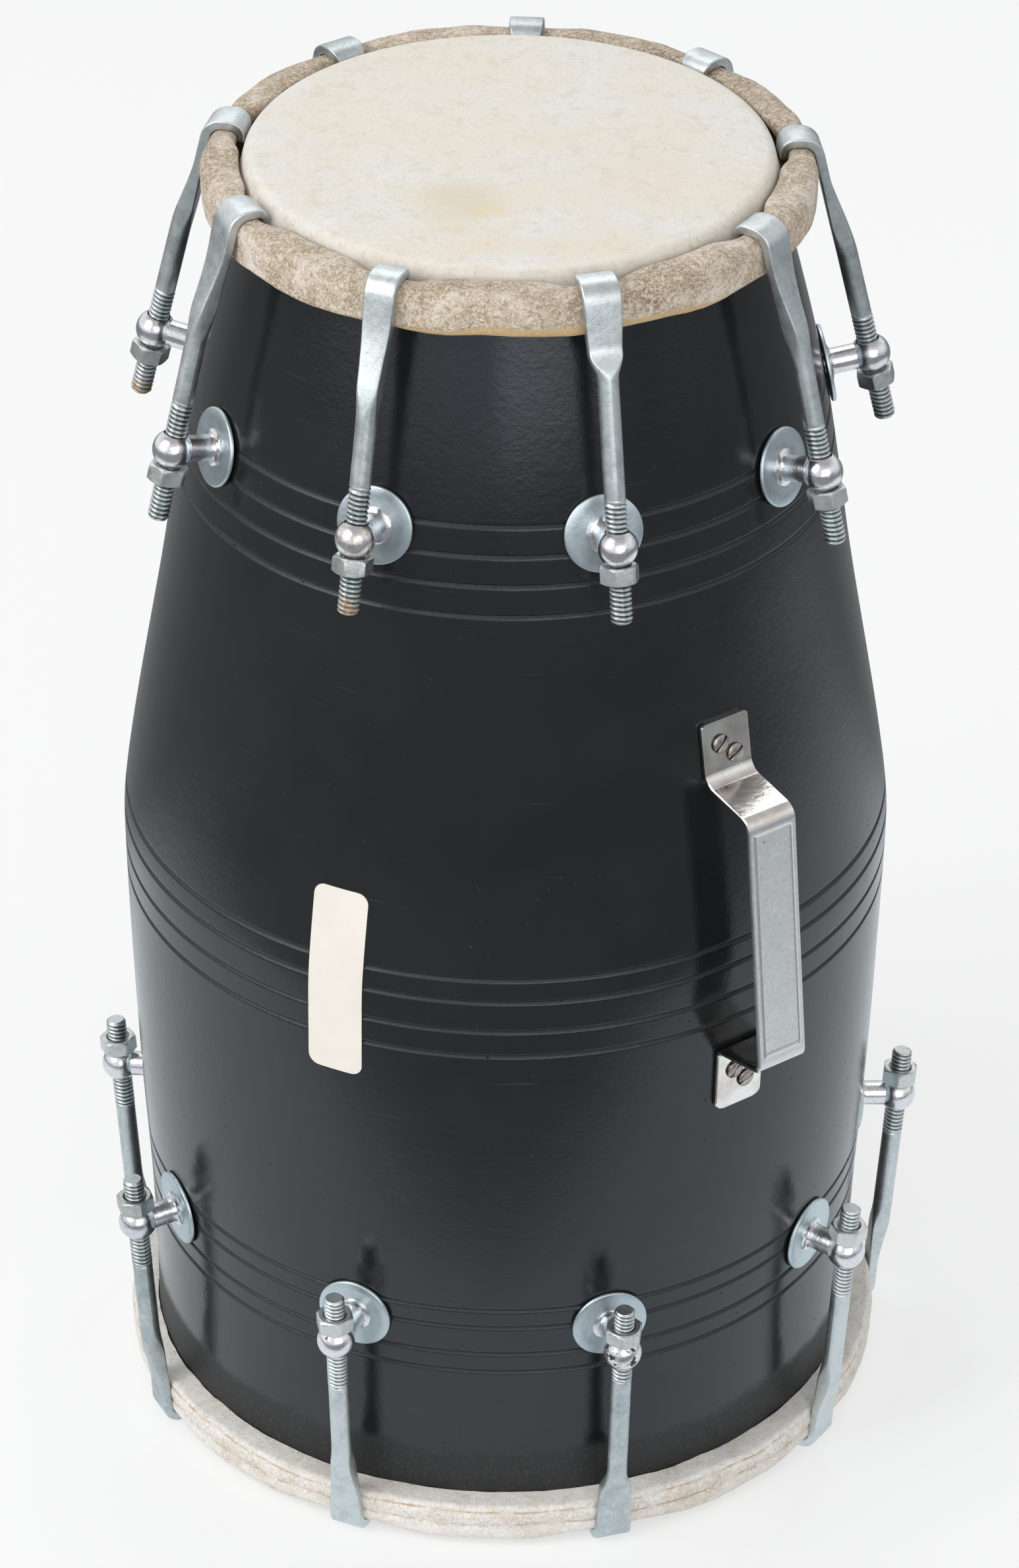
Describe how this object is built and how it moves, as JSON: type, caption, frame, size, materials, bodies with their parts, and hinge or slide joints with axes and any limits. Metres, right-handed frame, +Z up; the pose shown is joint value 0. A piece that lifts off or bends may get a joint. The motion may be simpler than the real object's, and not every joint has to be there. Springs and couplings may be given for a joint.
{
  "type": "dholak drum",
  "caption": "Upright two-headed wooden barrel drum, bolt tuned: skins lapped round hoops and pulled by claw hooks through eye posts, with a strip handle.",
  "frame": {"origin": "on the floor, under the centre of the drum, which stands on the claws of its bass hooks", "axes": "+Z up the axis of the drum towards the small treble head; the carrying handle faces -Y"},
  "size_m": [0.3302, 0.34, 0.5309],
  "materials": {
    "shell": "gloss black lacquer over turned hardwood",
    "handle": "nickel plated strip with a pressed border",
    "treble_skin": "thin goat skin, cream head with a tan suede roll",
    "bass_skin": "thick goat skin, pale roll with brown specks",
    "hoop": "plain bar hoop, hidden in the skin",
    "hook": "dull bluish zinc plate",
    "nut": "dull bluish zinc plate",
    "eye_post": "bright chrome ball and shank, zinc washer"
  },
  "bodies": {
    "drum": {"shell": "shell", "handle": "handle", "treble_skin": "treble_skin", "treble_hoop": "hoop", "bass_skin": "bass_skin", "bass_hoop": "hoop", "treble_eye_post_1": "eye_post", "treble_eye_post_2": "eye_post", "treble_eye_post_3": "eye_post", "treble_eye_post_4": "eye_post", "treble_eye_post_5": "eye_post", "treble_eye_post_6": "eye_post", "treble_eye_post_7": "eye_post", "treble_eye_post_8": "eye_post", "treble_eye_post_9": "eye_post", "bass_eye_post_1": "eye_post", "bass_eye_post_2": "eye_post", "bass_eye_post_3": "eye_post", "bass_eye_post_4": "eye_post", "bass_eye_post_5": "eye_post", "bass_eye_post_6": "eye_post", "bass_eye_post_7": "eye_post", "bass_eye_post_8": "eye_post", "bass_eye_post_9": "eye_post"},
    "treble_hook_1": {"treble_hook_1": "hook"},
    "treble_nut_1": {"treble_nut_1": "nut"},
    "treble_hook_2": {"treble_hook_2": "hook"},
    "treble_nut_2": {"treble_nut_2": "nut"},
    "treble_hook_3": {"treble_hook_3": "hook"},
    "treble_nut_3": {"treble_nut_3": "nut"},
    "treble_hook_4": {"treble_hook_4": "hook"},
    "treble_nut_4": {"treble_nut_4": "nut"},
    "treble_hook_5": {"treble_hook_5": "hook"},
    "treble_nut_5": {"treble_nut_5": "nut"},
    "treble_hook_6": {"treble_hook_6": "hook"},
    "treble_nut_6": {"treble_nut_6": "nut"},
    "treble_hook_7": {"treble_hook_7": "hook"},
    "treble_nut_7": {"treble_nut_7": "nut"},
    "treble_hook_8": {"treble_hook_8": "hook"},
    "treble_nut_8": {"treble_nut_8": "nut"},
    "treble_hook_9": {"treble_hook_9": "hook"},
    "treble_nut_9": {"treble_nut_9": "nut"},
    "bass_hook_1": {"bass_hook_1": "hook"},
    "bass_nut_1": {"bass_nut_1": "nut"},
    "bass_hook_2": {"bass_hook_2": "hook"},
    "bass_nut_2": {"bass_nut_2": "nut"},
    "bass_hook_3": {"bass_hook_3": "hook"},
    "bass_nut_3": {"bass_nut_3": "nut"},
    "bass_hook_4": {"bass_hook_4": "hook"},
    "bass_nut_4": {"bass_nut_4": "nut"},
    "bass_hook_5": {"bass_hook_5": "hook"},
    "bass_nut_5": {"bass_nut_5": "nut"},
    "bass_hook_6": {"bass_hook_6": "hook"},
    "bass_nut_6": {"bass_nut_6": "nut"},
    "bass_hook_7": {"bass_hook_7": "hook"},
    "bass_nut_7": {"bass_nut_7": "nut"},
    "bass_hook_8": {"bass_hook_8": "hook"},
    "bass_nut_8": {"bass_nut_8": "nut"},
    "bass_hook_9": {"bass_hook_9": "hook"},
    "bass_nut_9": {"bass_nut_9": "nut"}
  },
  "joints": [
    {"name": "treble_nut_1_turn", "type": "hinge", "parent": "drum", "child": "treble_nut_1", "pos_m": [0.04653, -0.12784, 0.43809], "axis": [0.0809, -0.2221, -0.9717], "range_deg": [0, 1250]},
    {"name": "treble_hook_1_slide", "type": "slide", "parent": "drum", "child": "treble_hook_1", "axis": [-0.0809, 0.2221, 0.9717], "range_m": [0, 0.00625]},
    {"name": "treble_nut_2_turn", "type": "hinge", "parent": "drum", "child": "treble_nut_2", "pos_m": [0.11782, -0.06802, 0.43809], "axis": [0.2047, -0.1182, -0.9717], "range_deg": [0, 1250]},
    {"name": "treble_hook_2_slide", "type": "slide", "parent": "drum", "child": "treble_hook_2", "axis": [-0.2047, 0.1182, 0.9717], "range_m": [0, 0.00625]},
    {"name": "treble_nut_3_turn", "type": "hinge", "parent": "drum", "child": "treble_nut_3", "pos_m": [0.13398, 0.02362, 0.43809], "axis": [0.2328, 0.041, -0.9717], "range_deg": [0, 1250]},
    {"name": "treble_hook_3_slide", "type": "slide", "parent": "drum", "child": "treble_hook_3", "axis": [-0.2328, -0.041, 0.9717], "range_m": [0, 0.00625]},
    {"name": "treble_nut_4_turn", "type": "hinge", "parent": "drum", "child": "treble_nut_4", "pos_m": [0.08745, 0.10422, 0.43809], "axis": [0.152, 0.1811, -0.9717], "range_deg": [0, 1250]},
    {"name": "treble_hook_4_slide", "type": "slide", "parent": "drum", "child": "treble_hook_4", "axis": [-0.152, -0.1811, 0.9717], "range_m": [0, 0.00625]},
    {"name": "treble_nut_5_turn", "type": "hinge", "parent": "drum", "child": "treble_nut_5", "pos_m": [0, 0.13605, 0.43809], "axis": [0, 0.2364, -0.9717], "range_deg": [0, 1250]},
    {"name": "treble_hook_5_slide", "type": "slide", "parent": "drum", "child": "treble_hook_5", "axis": [0, -0.2364, 0.9717], "range_m": [0, 0.00625]},
    {"name": "treble_nut_6_turn", "type": "hinge", "parent": "drum", "child": "treble_nut_6", "pos_m": [-0.08745, 0.10422, 0.43809], "axis": [-0.152, 0.1811, -0.9717], "range_deg": [0, 1250]},
    {"name": "treble_hook_6_slide", "type": "slide", "parent": "drum", "child": "treble_hook_6", "axis": [0.152, -0.1811, 0.9717], "range_m": [0, 0.00625]},
    {"name": "treble_nut_7_turn", "type": "hinge", "parent": "drum", "child": "treble_nut_7", "pos_m": [-0.13398, 0.02362, 0.43809], "axis": [-0.2328, 0.041, -0.9717], "range_deg": [0, 1250]},
    {"name": "treble_hook_7_slide", "type": "slide", "parent": "drum", "child": "treble_hook_7", "axis": [0.2328, -0.041, 0.9717], "range_m": [0, 0.00625]},
    {"name": "treble_nut_8_turn", "type": "hinge", "parent": "drum", "child": "treble_nut_8", "pos_m": [-0.11782, -0.06802, 0.43809], "axis": [-0.2047, -0.1182, -0.9717], "range_deg": [0, 1250]},
    {"name": "treble_hook_8_slide", "type": "slide", "parent": "drum", "child": "treble_hook_8", "axis": [0.2047, 0.1182, 0.9717], "range_m": [0, 0.00625]},
    {"name": "treble_nut_9_turn", "type": "hinge", "parent": "drum", "child": "treble_nut_9", "pos_m": [-0.04653, -0.12784, 0.43809], "axis": [-0.0809, -0.2221, -0.9717], "range_deg": [0, 1250]},
    {"name": "treble_hook_9_slide", "type": "slide", "parent": "drum", "child": "treble_hook_9", "axis": [0.0809, 0.2221, 0.9717], "range_m": [0, 0.00625]},
    {"name": "bass_nut_1_turn", "type": "hinge", "parent": "drum", "child": "bass_nut_1", "pos_m": [-0.05459, -0.14997, 0.09862], "axis": [-0.0238, -0.0653, 0.9976], "range_deg": [0, 1250]},
    {"name": "bass_hook_1_slide", "type": "slide", "parent": "drum", "child": "bass_hook_1", "axis": [0.0238, 0.0653, -0.9976], "range_m": [0, 0.00625]},
    {"name": "bass_nut_2_turn", "type": "hinge", "parent": "drum", "child": "bass_nut_2", "pos_m": [-0.13822, -0.0798, 0.09862], "axis": [-0.0602, -0.0348, 0.9976], "range_deg": [0, 1250]},
    {"name": "bass_hook_2_slide", "type": "slide", "parent": "drum", "child": "bass_hook_2", "axis": [0.0602, 0.0348, -0.9976], "range_m": [0, 0.00625]},
    {"name": "bass_nut_3_turn", "type": "hinge", "parent": "drum", "child": "bass_nut_3", "pos_m": [-0.15717, 0.02771, 0.09862], "axis": [-0.0685, 0.0121, 0.9976], "range_deg": [0, 1250]},
    {"name": "bass_hook_3_slide", "type": "slide", "parent": "drum", "child": "bass_hook_3", "axis": [0.0685, -0.0121, -0.9976], "range_m": [0, 0.00625]},
    {"name": "bass_nut_4_turn", "type": "hinge", "parent": "drum", "child": "bass_nut_4", "pos_m": [-0.10259, 0.12226, 0.09862], "axis": [-0.0447, 0.0533, 0.9976], "range_deg": [0, 1250]},
    {"name": "bass_hook_4_slide", "type": "slide", "parent": "drum", "child": "bass_hook_4", "axis": [0.0447, -0.0533, -0.9976], "range_m": [0, 0.00625]},
    {"name": "bass_nut_5_turn", "type": "hinge", "parent": "drum", "child": "bass_nut_5", "pos_m": [0, 0.1596, 0.09862], "axis": [0, 0.0695, 0.9976], "range_deg": [0, 1250]},
    {"name": "bass_hook_5_slide", "type": "slide", "parent": "drum", "child": "bass_hook_5", "axis": [0, -0.0695, -0.9976], "range_m": [0, 0.00625]},
    {"name": "bass_nut_6_turn", "type": "hinge", "parent": "drum", "child": "bass_nut_6", "pos_m": [0.10259, 0.12226, 0.09862], "axis": [0.0447, 0.0533, 0.9976], "range_deg": [0, 1250]},
    {"name": "bass_hook_6_slide", "type": "slide", "parent": "drum", "child": "bass_hook_6", "axis": [-0.0447, -0.0533, -0.9976], "range_m": [0, 0.00625]},
    {"name": "bass_nut_7_turn", "type": "hinge", "parent": "drum", "child": "bass_nut_7", "pos_m": [0.15717, 0.02771, 0.09862], "axis": [0.0685, 0.0121, 0.9976], "range_deg": [0, 1250]},
    {"name": "bass_hook_7_slide", "type": "slide", "parent": "drum", "child": "bass_hook_7", "axis": [-0.0685, -0.0121, -0.9976], "range_m": [0, 0.00625]},
    {"name": "bass_nut_8_turn", "type": "hinge", "parent": "drum", "child": "bass_nut_8", "pos_m": [0.13822, -0.0798, 0.09862], "axis": [0.0602, -0.0348, 0.9976], "range_deg": [0, 1250]},
    {"name": "bass_hook_8_slide", "type": "slide", "parent": "drum", "child": "bass_hook_8", "axis": [-0.0602, 0.0348, -0.9976], "range_m": [0, 0.00625]},
    {"name": "bass_nut_9_turn", "type": "hinge", "parent": "drum", "child": "bass_nut_9", "pos_m": [0.05459, -0.14997, 0.09862], "axis": [0.0238, -0.0653, 0.9976], "range_deg": [0, 1250]},
    {"name": "bass_hook_9_slide", "type": "slide", "parent": "drum", "child": "bass_hook_9", "axis": [-0.0238, 0.0653, -0.9976], "range_m": [0, 0.00625]}
  ],
  "couplings": [
    {"joint": "treble_nut_1_turn", "follows": "treble_hook_1_slide", "rad_per_m": 3490.6},
    {"joint": "treble_nut_2_turn", "follows": "treble_hook_2_slide", "rad_per_m": 3490.6},
    {"joint": "treble_nut_3_turn", "follows": "treble_hook_3_slide", "rad_per_m": 3490.6},
    {"joint": "treble_nut_4_turn", "follows": "treble_hook_4_slide", "rad_per_m": 3490.6},
    {"joint": "treble_nut_5_turn", "follows": "treble_hook_5_slide", "rad_per_m": 3490.6},
    {"joint": "treble_nut_6_turn", "follows": "treble_hook_6_slide", "rad_per_m": 3490.6},
    {"joint": "treble_nut_7_turn", "follows": "treble_hook_7_slide", "rad_per_m": 3490.6},
    {"joint": "treble_nut_8_turn", "follows": "treble_hook_8_slide", "rad_per_m": 3490.6},
    {"joint": "treble_nut_9_turn", "follows": "treble_hook_9_slide", "rad_per_m": 3490.6},
    {"joint": "bass_nut_1_turn", "follows": "bass_hook_1_slide", "rad_per_m": 3490.6},
    {"joint": "bass_nut_2_turn", "follows": "bass_hook_2_slide", "rad_per_m": 3490.6},
    {"joint": "bass_nut_3_turn", "follows": "bass_hook_3_slide", "rad_per_m": 3490.6},
    {"joint": "bass_nut_4_turn", "follows": "bass_hook_4_slide", "rad_per_m": 3490.6},
    {"joint": "bass_nut_5_turn", "follows": "bass_hook_5_slide", "rad_per_m": 3490.6},
    {"joint": "bass_nut_6_turn", "follows": "bass_hook_6_slide", "rad_per_m": 3490.6},
    {"joint": "bass_nut_7_turn", "follows": "bass_hook_7_slide", "rad_per_m": 3490.6},
    {"joint": "bass_nut_8_turn", "follows": "bass_hook_8_slide", "rad_per_m": 3490.6},
    {"joint": "bass_nut_9_turn", "follows": "bass_hook_9_slide", "rad_per_m": 3490.6}
  ]
}
